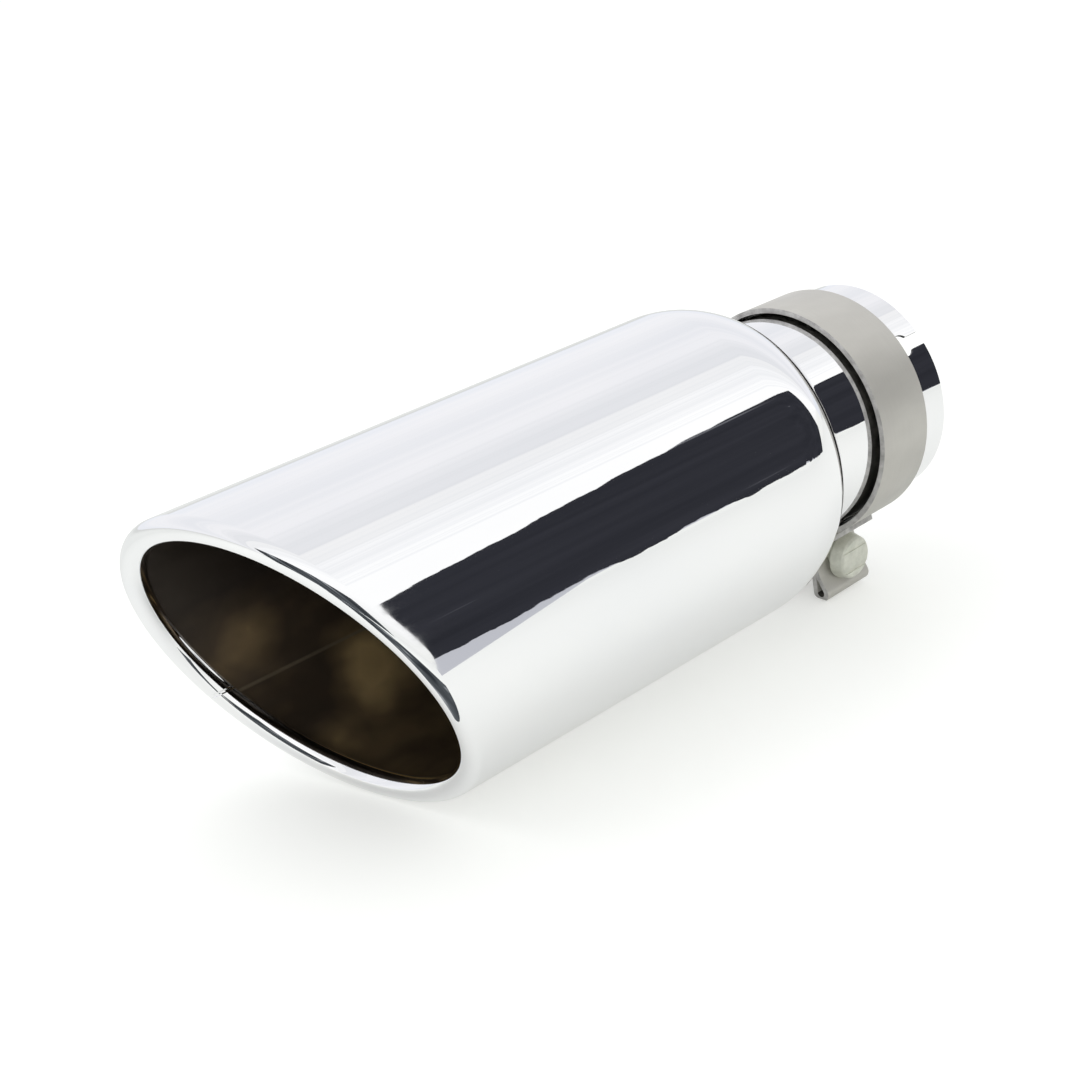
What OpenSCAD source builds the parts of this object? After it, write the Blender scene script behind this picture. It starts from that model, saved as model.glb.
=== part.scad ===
// Clamp-on exhaust tip: slant-cut round tailpipe trim with a rolled mouth,
// a domed shoulder, a slotted inlet neck and a loose flat band clamp.
// Millimetres. The pipe axis is Y, the mouth faces -Y and the lugs point down (-Z).
// The origin is the centre of the inlet end, where the tailpipe goes in.

/* [Outer shell] */
// Outside diameter of the shell
body_d = 127; // [110:0.5:150]
// Sheet thickness of the shell
body_wall = 1.2; // [1:0.1:2]
// Length from the inlet end to the middle of the slanted mouth
mouth_mid = 278.4; // [220:1:340]
// Slant of the mouth away from square
mouth_slant = 25.9; // [10:0.1:32]
// Turn of the short side of the mouth, from straight up towards +X
mouth_turn = 135.2; // [0:0.1:180]
// Radius of the rolled edge of the mouth
roll_r = 4.5; // [2.5:0.05:5]
// How far the rolled edge curls round, past the tangent of the wall
roll_sweep = 232; // [180:1:270]
// Outer radius of the domed shoulder
dome_r = 44; // [36:0.5:50]

/* [Inlet neck] */
// Inside diameter of the neck, over the tailpipe
neck_id = 89.2; // [88.9:0.1:89.6]
// Sheet thickness of the neck
neck_wall = 1.2; // [1:0.1:2]
// Length of the neck outside the dome's rim
neck_out = 63; // [50:1:80]
// Length of the neck that reaches inside the shell
neck_in = 12; // [6:1:30]
// Gap between the neck and the rim of the dome's hole
rim_gap = 0.1; // [0.08:0.01:0.2]
// Leg of the weld fillet that joins the neck and the dome inside
weld_leg = 3; // [2:0.5:4]

/* [Relief slots] */
// Number of slots round the neck
slot_count = 4; // [2:1:6]
// Turn of the first slot, from straight up towards +X
slot_turn = 50; // [0:1:89]
// Width of a slot
slot_w = 5.6; // [3:0.1:6]
// Distance from the inlet end to the centre of a slot's round end
slot_len = 10.8; // [8:0.1:20]
// Diameter of the round end of a slot
slot_end_d = 9.5; // [7:0.1:12]

/* [Clamp band] */
// Width of the band along the pipe
band_w = 28; // [22:1:34]
// Thickness of the band
band_t = 1.8; // [1.4:0.1:2]
// Clearance of the loosened band round the neck
band_slack = 1.7; // [1.6:0.1:3]
// Distance from the inlet end to the middle of the band
band_back = 31; // [24:1:34]
// Tilt of the loose band, its rear edge down
band_nod = 2; // [0:0.1:2.5]
// Turn of the loose band about the vertical
band_yaw = 3.2; // [0:0.1:3.5]
// Gap left under the neck's top edge where the band hangs
hang_gap = 0.2; // [0.1:0.05:0.3]

/* [Clamp lugs] */
// Half of the gap between the folded lugs at the band
lug_half_gap = 5.8; // [4:0.1:7]
// Lean of each lug away from the middle
lug_lean = 18; // [10:0.5:22]
// How much shorter than the bolt's head the flat doubled part of a lug is
flat_short = 2.6; // [2:0.1:3]
// Length of each straight side of the teardrop at the end of a lug
drop_side = 6.5; // [4:0.1:8]
// Inner radius of the teardrop
drop_r = 1.7; // [1.6:0.1:3]
// Inner radius of the bends at the foot of a lug
bend_r = 1; // [0.8:0.1:2]
// Gap between the two pressed layers of a lug
fold_gap = 0.1; // [0.05:0.05:0.3]
// Length of the foot that lies back on the band
foot_len = 11; // [8:0.5:14]
// Slope of the foot
foot_slope = 13; // [8:0.5:20]
// Gap between the foot and the band at the root of the foot
foot_rise = 0.4; // [0.2:0.1:0.8]
// Diameter of a spot weld between the foot and the band
spot_d = 5; // [4:0.5:7]
// Radius of the rounded corners at a lug's end
lug_corner = 2.5; // [2:0.5:6]

/* [Bridge and block] */
// Thickness of the bridge plate inside the band
bridge_t = 1; // [0.8:0.1:1.4]
// Gap between the bridge plate and the band
bridge_gap = 0.05; // [0.05:0.05:0.3]
// Half of the arc that the bridge plate covers
bridge_half = 24; // [18:1:30]
// Width of the bridge plate along the pipe
bridge_w = 21; // [16:1:26]
// Distance of the reaction block from the band's circle
block_off = 1.8; // [1.2:0.1:2.5]
// Width of the reaction block along the pipe
block_w = 22; // [16:1:26]
// How far the reaction block reaches past the bolt's hole
block_rim = 2.3; // [1:0.1:2.5]
// Clearance between the block and the lugs
block_gap = 2.2; // [1.5:0.1:2.4]

/* [Clamp bolt] */
// Shank diameter of the bolt
bolt_d = 10; // [8:0.5:10]
// Clearance of the bolt's holes, on the diameter
bolt_play = 1; // [0.6:0.1:1.5]
// Clearance between the band's circle and the rim of the bolt's head
head_room = 0.9; // [0.7:0.1:2]
// Diameter of the head at its rim
head_d = 20; // [17:0.5:24]
// Diameter of the head's flat face
face_d = 17.6; // [14:0.1:18]
// Height of the head above its rim
head_h = 5.6; // [5:0.1:8]
// Height of the flare of the seat under the head or the nut
seat_h = 2.6; // [2:0.1:3]
// Diameter of the seat where it meets the lug
seat_d = 13; // [12:0.5:14]
// Gap between the seat and the lug
seat_gap = 0.3; // [0.25:0.05:0.4]
// Width of a groove in the head's face
groove_w = 1.6; // [1:0.1:2.5]
// Depth of a groove in the head's face
groove_deep = 0.5; // [0.3:0.1:1]
// Distance of each groove from the middle of the face
groove_off = 4.8; // [3:0.1:6]
// Height of the band's middle line to the rim of the head, along the bolt
rim_out = 17.4; // [17.3:0.1:18]

/* [Nut] */
// Width across the flats of the nut
nut_af = 16; // [14:0.5:17]
// Height of the nut
nut_h = 8.4; // [6:0.1:10]
// Length of the bolt that stands out of the nut
bolt_past = 3.5; // [1:0.5:8]

/* [Hidden] */
$fn = 128;
eps = 0.01;
body_r = body_d / 2;
neck_ir = neck_id / 2;
neck_or = neck_ir + neck_wall;
// The dome is part of a quarter arc and stops at a hole that the neck fills.
rim_r = neck_or + rim_gap;
dome_centre = body_r - dome_r;
dome_y = -neck_out - sqrt(pow(dome_r, 2) - pow(rim_r - dome_centre, 2));
// The middle line of the rolled edge lies on a cylinder inside the wall.
roll_path_r = body_r - roll_r;
slant_rise = tan(mouth_slant) * roll_path_r;
shell_steps = 80;
dome_steps = 9;
roll_steps = 10;
// Degrees between two points of an arc in the clamp's band.
arc_step = 9;
band_ir = neck_or + band_slack;
band_or = band_ir + band_t;
band_mid_r = band_ir + band_t / 2;
// The turned and tilted band hangs until its rear top edge is near the neck.
band_drop = sqrt(pow(band_slack - hang_gap, 2) - pow(band_w / 2 * sin(band_yaw), 2))
    - band_w / 2 * sin(band_nod);
bend_mid = bend_r + band_t / 2;
layer_off = band_t / 2 + fold_gap / 2;
drop_mid = drop_r + band_t / 2;
throat_mid = 4;
// Opening angle of the teardrop, where its sides meet the round end.
function drop_gap(a) = layer_off + throat_mid * (1 - cos(a)) + drop_side * sin(a) - drop_mid * cos(a);
function drop_solve(lo, hi, n) = let (mid = (lo + hi) / 2)
    n == 0 ? mid : drop_gap(mid) > 0 ? drop_solve(lo, mid, n - 1) : drop_solve(mid, hi, n - 1);
drop_angle = drop_solve(0, 60, 24);
// Where the band leaves its circle to bend out into the lug.
root_angle = asin((lug_half_gap + bend_mid) / band_mid_r);
root_turn = 90 + lug_lean - root_angle;
// The head and the lugs go together: a larger head moves the bolt out and lengthens the lugs.
bolt_out = band_or + head_room + head_d / 2;
lug_flat = head_d - flat_short;
foot_turn = 90 + lug_lean - foot_slope;
foot_leg = lug_flat - band_t - fold_gap - foot_rise;
// Lowest point of a lug, measured from the band's centre.
lug_tip_out = max([for (q = lug_line()) -q[0][1]]) + band_t / 2;
// How far a spot weld stands past the thickness of the band, into the foot.
spot_reach = 0.9;
bolt_hole_d = bolt_d + bolt_play;
nut_play = 0.1;
bolt_end = rim_out + nut_h + bolt_past;

// A path is made of steps [length, radius, turn]: a straight run, or an arc that turns left.
function step_end(p, h, s) = s[1] == 0
    ? [p[0] + s[0] * cos(h), p[1] + s[0] * sin(h)]
    : let (side = sign(s[2]))
      [p[0] + s[1] * side * (sin(h + s[2]) - sin(h)), p[1] - s[1] * side * (cos(h + s[2]) - cos(h))];
function trace(p, h, steps, i = 0) = i == len(steps) ? [[p, h]] :
    let (s = steps[i], n = s[1] == 0 ? 1 : max(2, ceil(abs(s[2]) / arc_step)))
    concat([for (k = [0:n - 1]) [step_end(p, h, [s[0] * k / n, s[1], s[2] * k / n]), h + s[2] * k / n]],
           trace(step_end(p, h, s), h + s[2], steps, i + 1));
function side_of(line, off) = [for (q = line) q[0] + off * [-sin(q[1]), cos(q[1])]];
function back_to_front(list) = [for (i = [len(list) - 1:-1:0]) list[i]];

module strip(line, t) {
    polygon(concat(side_of(line, t / 2), back_to_front(side_of(line, -t / 2))));
}

// Turns a shape drawn along Z so that it runs along the pipe, towards the inlet.
module along_pipe() {
    rotate([-90, 0, 0]) children();
}

// Middle line of the rolled edge at angle a, its radial direction and its forward direction.
function roll_point(a) = [roll_path_r * sin(a), -mouth_mid + slant_rise * cos(a - mouth_turn),
                          roll_path_r * cos(a)];
function roll_radial(a) = [sin(a), 0, cos(a)];
function roll_forward(a) =
    let (t = [roll_path_r * cos(a), -slant_rise * sin(a - mouth_turn), -roll_path_r * sin(a)])
    cross(t, roll_radial(a)) / norm(t);
function roll_arc(a, r) = [for (i = [0:roll_steps]) let (w = roll_sweep * i / roll_steps)
    roll_point(a) + r * (cos(w) * roll_radial(a) + sin(w) * roll_forward(a))];

// The dome's arc in the plane at angle a, from the rim of its hole out to the wall.
function dome_arc(a, r) = let (rim = acos((rim_r - dome_centre) / r))
    [for (i = [0:dome_steps]) let (w = rim * (1 - i / dome_steps), out = dome_centre + r * cos(w))
        [out * sin(a), dome_y + r * sin(w), out * cos(a)]];

// One closed section of the sheet: the dome, the wall and the rolled edge, outside and back inside.
function shell_section(a) = concat(
    dome_arc(a, dome_r), roll_arc(a, roll_r),
    back_to_front(roll_arc(a, roll_r - body_wall)), back_to_front(dome_arc(a, dome_r - body_wall)));

module outer_shell() {
    n = len(shell_section(0));
    points = [for (i = [0:shell_steps - 1]) for (q = shell_section(360 * i / shell_steps)) q];
    faces = [for (i = [0:shell_steps - 1]) let (j = (i + 1) % shell_steps)
        for (k = [0:n - 1]) let (m = (k + 1) % n)
            [[i * n + k, i * n + m, j * n + m], [i * n + k, j * n + m, j * n + k]]];
    color([0.80, 0.81, 0.84]) polyhedron(points, [for (pair = faces) for (f = pair) f]);
}

module slot() {
    translate([0, -slot_len, 0]) {
        cylinder(h = neck_or + 1, d = slot_end_d);
        translate([-slot_w / 2, 0, 0]) cube([slot_w, slot_len + 1, neck_or + 1]);
    }
}

module inlet_neck() {
    color([0.82, 0.83, 0.85]) difference() {
        translate([0, -neck_out - neck_in, 0]) along_pipe() difference() {
            cylinder(h = neck_out + neck_in, r = neck_or);
            translate([0, 0, -1]) cylinder(h = neck_out + neck_in + 2, r = neck_ir);
        }
        for (i = [0:slot_count - 1]) rotate([0, slot_turn + 360 * i / slot_count, 0]) slot();
    }
}

// Fillet inside the shell, between the neck and the dome's inner face.
module neck_weld() {
    inside_r = dome_r - body_wall - rim_gap;
    inner_rim = sqrt(pow(inside_r, 2) - pow(neck_or - dome_centre, 2));
    color([0.55, 0.50, 0.44]) translate([0, dome_y, 0]) along_pipe() rotate_extrude() intersection() {
        translate([neck_or, inner_rim - weld_leg]) square([weld_leg, weld_leg]);
        translate([dome_centre, 0]) circle(inside_r);
    }
}

// The clamp's own frame: X across, Y up, Z along the pipe, at the middle of the band.
module in_clamp() {
    translate([0, -band_back, -band_drop]) rotate([-band_nod, 0, band_yaw]) rotate([90, 0, 0]) children();
}

function lug_line() = trace(
    band_mid_r * [sin(root_angle), -cos(root_angle)], 180 + root_angle,
    [[0, bend_mid, root_turn], [lug_flat, 0, 0],
     [0, throat_mid, -drop_angle], [drop_side, 0, 0], [0, drop_mid, 180 + 2 * drop_angle],
     [drop_side, 0, 0], [0, throat_mid, -drop_angle], [foot_leg, 0, 0],
     [0, bend_mid, -foot_turn], [foot_len, 0, 0]]);

module band_ring() {
    difference() {
        circle(band_or);
        circle(band_ir);
        polygon([[0, 0], 2 * band_or * [sin(root_angle), -cos(root_angle)],
                 2 * band_or * [-sin(root_angle), -cos(root_angle)]]);
    }
}

// Cuts the end of both lugs to a rounded outline, seen along the bolt.
module lug_corner_cut() {
    for (s = [-1, 1]) translate([0, 0, s * band_w / 2]) difference() {
        translate([-band_or, -lug_tip_out - eps, s > 0 ? -lug_corner : -eps])
            cube([2 * band_or, lug_corner + eps, lug_corner + eps]);
        translate([-band_or - 1, -lug_tip_out + lug_corner, -s * lug_corner]) rotate([0, 90, 0])
            cylinder(h = 2 * band_or + 2, r = lug_corner);
    }
}

module spot_weld(s) {
    root = lug_line();
    foot_end = root[len(root) - 1];
    mid = foot_end[0] - (foot_len / 2) * [cos(foot_end[1]), sin(foot_end[1])];
    mirror([s < 0 ? 1 : 0, 0, 0]) for (z = [-band_w / 4, band_w / 4]) translate([mid[0], mid[1], z])
        rotate([0, 0, foot_end[1]]) rotate([-90, 0, 0]) cylinder(h = band_t + spot_reach, d = spot_d);
}

module clamp_band() {
    color([0.72, 0.70, 0.66]) in_clamp() difference() {
        union() {
            linear_extrude(band_w, center = true) band_ring();
            for (s = [0, 1]) mirror([s, 0, 0])
                linear_extrude(band_w, center = true) strip(lug_line(), band_t);
            for (s = [-1, 1]) spot_weld(s);
        }
        lug_corner_cut();
        translate([-band_or, -bolt_out, 0]) rotate([0, 90, 0]) cylinder(h = 2 * band_or, d = bolt_hole_d);
    }
}

// Thin plate that closes the gap of the band against the neck.
module bridge_plate() {
    r = band_ir - bridge_gap;
    color([0.60, 0.59, 0.57]) in_clamp() linear_extrude(bridge_w, center = true) intersection() {
        difference() {
            circle(r);
            circle(r - bridge_t);
        }
        polygon([[0, 0], 2 * r * [sin(bridge_half), -cos(bridge_half)],
                 2 * r * [-sin(bridge_half), -cos(bridge_half)]]);
    }
}

// Distance from the middle to a lug's inner layer, at a distance u from the band's centre.
function lug_middle(u) = let (p = lug_line()[max(2, ceil(abs(root_turn) / arc_step))][0])
    p[0] + (u + p[1]) * tan(lug_lean);

// Half width of the space between the lugs.
function between_lugs(u) = lug_middle(u) - (band_t / 2 + block_gap) / cos(lug_lean);

module reaction_block() {
    low = band_or + block_off;
    high = bolt_out + bolt_hole_d / 2 + block_rim;
    color([0.58, 0.58, 0.56]) in_clamp() difference() {
        linear_extrude(block_w, center = true) polygon([[-between_lugs(low), -low],
            [between_lugs(low), -low], [between_lugs(high), -high], [-between_lugs(high), -high]]);
        translate([-band_or, -bolt_out, 0]) rotate([0, 90, 0]) cylinder(h = 2 * band_or, d = bolt_hole_d);
    }
}

// Runs from the middle of the clamp towards the bolt's head.
module along_bolt() {
    translate([0, -bolt_out, 0]) rotate([0, 90, 0]) children();
}

// Seat that lets a straight bolt sit on a leaning lug; it flares out to the head's rim.
module lug_seat() {
    difference() {
        union() {
            cylinder(h = rim_out, d = seat_d);
            translate([0, 0, rim_out - seat_h]) cylinder(h = seat_h, d1 = seat_d, d2 = head_d);
        }
        translate([0, 0, lug_middle(bolt_out) + (1.5 * band_t + fold_gap + seat_gap) / cos(lug_lean)])
            rotate([-lug_lean, 0, 0]) translate([-head_d, -head_d, -head_d])
                cube([2 * head_d, 2 * head_d, head_d]);
    }
}

module clamp_bolt() {
    color([0.70, 0.72, 0.63]) in_clamp() along_bolt() difference() {
        union() {
            translate([0, 0, -bolt_end]) cylinder(h = bolt_end + rim_out, d = bolt_d);
            lug_seat();
            translate([0, 0, rim_out]) cylinder(h = head_h, d1 = head_d, d2 = face_d);
        }
        for (s = [-1, 1])
            translate([-head_d / 2, s * groove_off - groove_w / 2, rim_out + head_h - groove_deep])
                cube([head_d, groove_w, groove_deep + 1]);
    }
}

module seat_washer() {
    color([0.66, 0.67, 0.62]) in_clamp() mirror([1, 0, 0]) along_bolt() difference() {
        lug_seat();
        cylinder(h = 2 * rim_out, d = bolt_d + bolt_play / 2);
    }
}

module clamp_nut() {
    color([0.68, 0.69, 0.62])
    in_clamp() mirror([1, 0, 0]) along_bolt() translate([0, 0, rim_out]) difference() {
        cylinder(h = nut_h, d = nut_af / cos(30), $fn = 6);
        translate([0, 0, -1]) cylinder(h = nut_h + 2, d = bolt_d + nut_play);
    }
}

outer_shell();
inlet_neck();
neck_weld();
clamp_band();
bridge_plate();
reaction_block();
clamp_bolt();
seat_washer();
clamp_nut();
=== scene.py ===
"""Looks of a clamp-on exhaust tip: a slant-cut polished shell, its slotted neck and a loose band clamp."""

import logging
import math
from dataclasses import dataclass
from enum import Enum
from typing import Callable, Iterable

import bmesh
import bpy
from mathutils import Euler, Matrix, Vector

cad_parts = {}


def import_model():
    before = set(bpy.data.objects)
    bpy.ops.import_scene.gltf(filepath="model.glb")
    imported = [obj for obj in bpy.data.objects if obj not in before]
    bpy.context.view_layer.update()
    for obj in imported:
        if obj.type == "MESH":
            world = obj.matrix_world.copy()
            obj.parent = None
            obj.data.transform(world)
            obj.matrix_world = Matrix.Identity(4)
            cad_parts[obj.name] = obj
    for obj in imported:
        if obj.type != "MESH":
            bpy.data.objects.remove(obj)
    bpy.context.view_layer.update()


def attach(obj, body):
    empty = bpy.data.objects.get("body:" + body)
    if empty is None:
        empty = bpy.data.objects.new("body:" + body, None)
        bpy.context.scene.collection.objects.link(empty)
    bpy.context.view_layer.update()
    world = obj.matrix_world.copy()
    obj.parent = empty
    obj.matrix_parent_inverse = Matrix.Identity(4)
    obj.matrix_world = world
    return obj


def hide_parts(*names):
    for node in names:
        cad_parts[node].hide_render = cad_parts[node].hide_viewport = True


LOG = logging.getLogger("exhaust_tip")
MM = 0.001
HALVINGS = 40
CENTRE = Vector((0, 0, 0))
PIPE_AXIS = Vector((0, 1, 0))
UPRIGHT = Vector((0, 0, 1))

Piece = bpy.types.Object
Material = bpy.types.Material
Socket = bpy.types.NodeSocket
Triple = tuple[float, float, float]
Stops = Iterable[tuple[float, Triple]]


class Meet(Enum):
    """What a second solid does to the piece that it meets."""

    TAKE_AWAY = "DIFFERENCE"
    KEEP_COMMON = "INTERSECT"
    ADD = "UNION"


class Side(Enum):
    """The two sides of the clamp, across the pipe."""

    HEAD = 1
    NUT = -1


# The bench: short calls for what is done by hand


def shift(x: float, y: float, z: float) -> Matrix:
    """A move, in millimetres."""
    return Matrix.Translation(Vector((x, y, z)) * MM)


def rotation(degrees: float, axis: str) -> Matrix:
    """A turn round one of the axes."""
    return Matrix.Rotation(math.radians(degrees), 4, axis)


def to_object_mode() -> None:
    """Leaves edit mode if it is on."""
    if bpy.context.mode != "OBJECT":
        bpy.ops.object.mode_set(mode="OBJECT")


def pick_only(*pieces: Piece) -> None:
    """Selects only these objects and makes the first one active.

    Args:
        pieces: The objects to select.
    """
    to_object_mode()
    bpy.ops.object.select_all(action="DESELECT")
    for piece in pieces:
        piece.select_set(True)
    bpy.context.view_layer.objects.active = pieces[0] if pieces else None


def add(shape: str, name: str = "", **settings: object) -> Piece:
    """Adds one of Blender's mesh shapes.

    Args:
        shape: The shape's word in its operator's name, such as cube.
        name: The new piece's name, if it needs one.
        settings: The operator's values by name.

    Returns:
        The new object.
    """
    pick_only()
    getattr(bpy.ops.mesh, f"primitive_{shape}_add")(**settings)
    piece = bpy.context.active_object
    if name:
        piece.name = piece.data.name = name
    return piece


def settle(piece: Piece, place: Matrix) -> Piece:
    """Moves a mesh to its place and applies that, so the object sits at the origin.

    Args:
        piece: The piece to move.
        place: Its place, which may hold a scale.

    Returns:
        The same piece.
    """
    pick_only(piece)
    piece.matrix_world = place
    bpy.ops.object.transform_apply(location=True, rotation=True, scale=True)
    return piece


def box(middle: Triple, size: Triple) -> Piece:
    """Adds a box with this middle and this size, in millimetres."""
    return settle(add("cube", size=1), shift(*middle) @ Matrix.Diagonal((*(Vector(size) * MM), 1)))


def rod(radius: float, length: float, sides: int, place: Matrix, name: str = "") -> Piece:
    """Adds an upright cylinder.

    Args:
        radius: Its radius, in millimetres.
        length: Its length, in millimetres.
        sides: How many sides it has.
        place: Where its middle goes, and its turn.
        name: The new piece's name, if it needs one.

    Returns:
        The cylinder.
    """
    return settle(add("cylinder", name, vertices=sides, radius=radius * MM, depth=length * MM), place)


def duplicate(piece: Piece) -> Piece:
    """Copies a piece, with a mesh of its own.

    Args:
        piece: The piece to copy.

    Returns:
        The copy.
    """
    pick_only(piece)
    bpy.ops.object.duplicate(linked=False)
    return bpy.context.active_object


def discard(piece: Piece) -> None:
    """Deletes a helper that has done its work."""
    pick_only(piece)
    bpy.ops.object.delete()


def open_mesh(piece: Piece) -> None:
    """Opens a piece for editing, with all of it selected.

    Args:
        piece: The piece to open.
    """
    pick_only(piece)
    bpy.ops.object.mode_set(mode="EDIT")
    bpy.ops.mesh.select_mode(type="VERT")
    bpy.ops.mesh.select_all(action="SELECT")


def grab(test: Callable[[Vector], bool]) -> None:
    """Selects the vertices of the open mesh that pass a test of their place.

    Args:
        test: Says whether a vertex at this place is wanted.
    """
    mesh = bmesh.from_edit_mesh(bpy.context.edit_object.data)
    wanted = [vertex for vertex in mesh.verts if test(vertex.co)]
    bpy.ops.mesh.select_all(action="DESELECT")
    for vertex in wanted:
        vertex.select = True
    mesh.select_flush_mode()
    bmesh.update_edit_mesh(bpy.context.edit_object.data)


def start_point(name: str, place: Vector) -> Piece:
    """Adds a plane, merges it to one vertex and moves that to its place.

    Args:
        name: The new piece's name.
        place: Where the vertex goes, in metres.

    Returns:
        The new object, open for editing with its vertex selected.
    """
    piece = add("plane", name, size=MM)
    open_mesh(piece)
    bpy.ops.mesh.merge(type="CENTER")
    bpy.ops.transform.translate(value=tuple(place))
    return piece


def extrude(step: Vector) -> None:
    """Extrudes what is selected by a step."""
    bpy.ops.mesh.extrude_region_move(TRANSFORM_OT_translate={"value": tuple(step)})


def spin(centre: Vector, axis: Vector, degrees: float, steps: int) -> None:
    """Spins what is selected round an axis, by the right-hand rule.

    Args:
        centre: A point on the axis.
        axis: The axis's direction.
        degrees: How far to turn.
        steps: How many steps the turn takes.
    """
    angle = -math.radians(degrees)
    bpy.ops.mesh.spin(steps=steps, angle=angle, center=tuple(centre), axis=tuple(axis), dupli=False)


def revolve(axis: Vector, steps: int) -> None:
    """Spins the whole open mesh once round an axis through the origin and closes it.

    Args:
        axis: The axis's direction.
        steps: How many steps the turn takes.
    """
    bpy.ops.mesh.select_all(action="SELECT")
    spin(CENTRE, axis, 360, steps)
    bpy.ops.mesh.select_all(action="SELECT")
    bpy.ops.mesh.remove_doubles(threshold=1e-6)


def turn_outward(piece: Piece) -> None:
    """Makes the faces of a closed piece point outwards.

    Args:
        piece: The piece.
    """
    open_mesh(piece)
    bpy.ops.mesh.normals_make_consistent(inside=False)
    to_object_mode()


def modify(piece: Piece, kind: str, **settings: object) -> None:
    """Adds a modifier with its settings and applies it.

    Args:
        piece: The piece to change.
        kind: Blender's name of the modifier.
        settings: The modifier's values by name.
    """
    pick_only(piece)
    modifier = piece.modifiers.new(kind.lower(), kind)
    for key, value in settings.items():
        setattr(modifier, key, value)
    bpy.ops.object.modifier_apply(modifier=modifier.name)


def carve(piece: Piece, tool: Piece, how: Meet = Meet.TAKE_AWAY) -> None:
    """Cuts or joins a piece with another solid, which is then removed.

    Args:
        piece: The piece to change.
        tool: The other solid; the cut faces take its material, if it has one.
        how: What the other solid does.
    """
    mode = "TRANSFER" if tool.data.materials else "INDEX"
    modify(piece, "BOOLEAN", object=tool, operation=how.value, solver="EXACT", material_mode=mode)
    discard(tool)


def thicken(piece: Piece, thickness: float, offset: float, **settings: int) -> None:
    """Gives an open sheet its thickness.

    Args:
        piece: The sheet.
        thickness: How thick it becomes, in millimetres.
        offset: -1 to grow inwards, 0 to grow both ways.
        settings: Which materials the new faces take.
    """
    modify(piece, "SOLIDIFY", thickness=thickness * MM, offset=offset, use_even_offset=True, **settings)


def merge(main: Piece, others: Iterable[Piece]) -> Piece:
    """Joins pieces into the first one.

    Args:
        main: The piece that stays.
        others: The pieces that become part of it.

    Returns:
        The joined piece.
    """
    pick_only(main, *others)
    bpy.ops.object.join()
    return bpy.context.active_object


def round_off(piece: Piece, width: float, angle: float = 40) -> None:
    """Rounds a piece's sharp edges and shades it smooth.

    Args:
        piece: The piece to finish.
        width: How far each edge is taken back, in millimetres.
        angle: The smallest angle between faces that counts as an edge, in degrees.
    """
    limit = math.radians(angle)
    if width > 0:
        modify(piece, "BEVEL", width=width * MM, segments=2, limit_method="ANGLE", angle_limit=limit)
    pick_only(piece)
    bpy.ops.object.shade_smooth_by_angle(angle=limit)


def hand_over(piece: Piece, slot: str, *nodes: str) -> None:
    """Puts a finished piece on the CAD body in place of its nodes.

    Args:
        piece: The finished piece.
        slot: The name of a material slot; not used.
        nodes: The CAD nodes that the piece stands for.
    """
    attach(piece, "root")
    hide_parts(*nodes)
    LOG.info("%s: %d faces, in place of %s", piece.name, len(piece.data.polygons), ", ".join(nodes))


# The finishes


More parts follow.
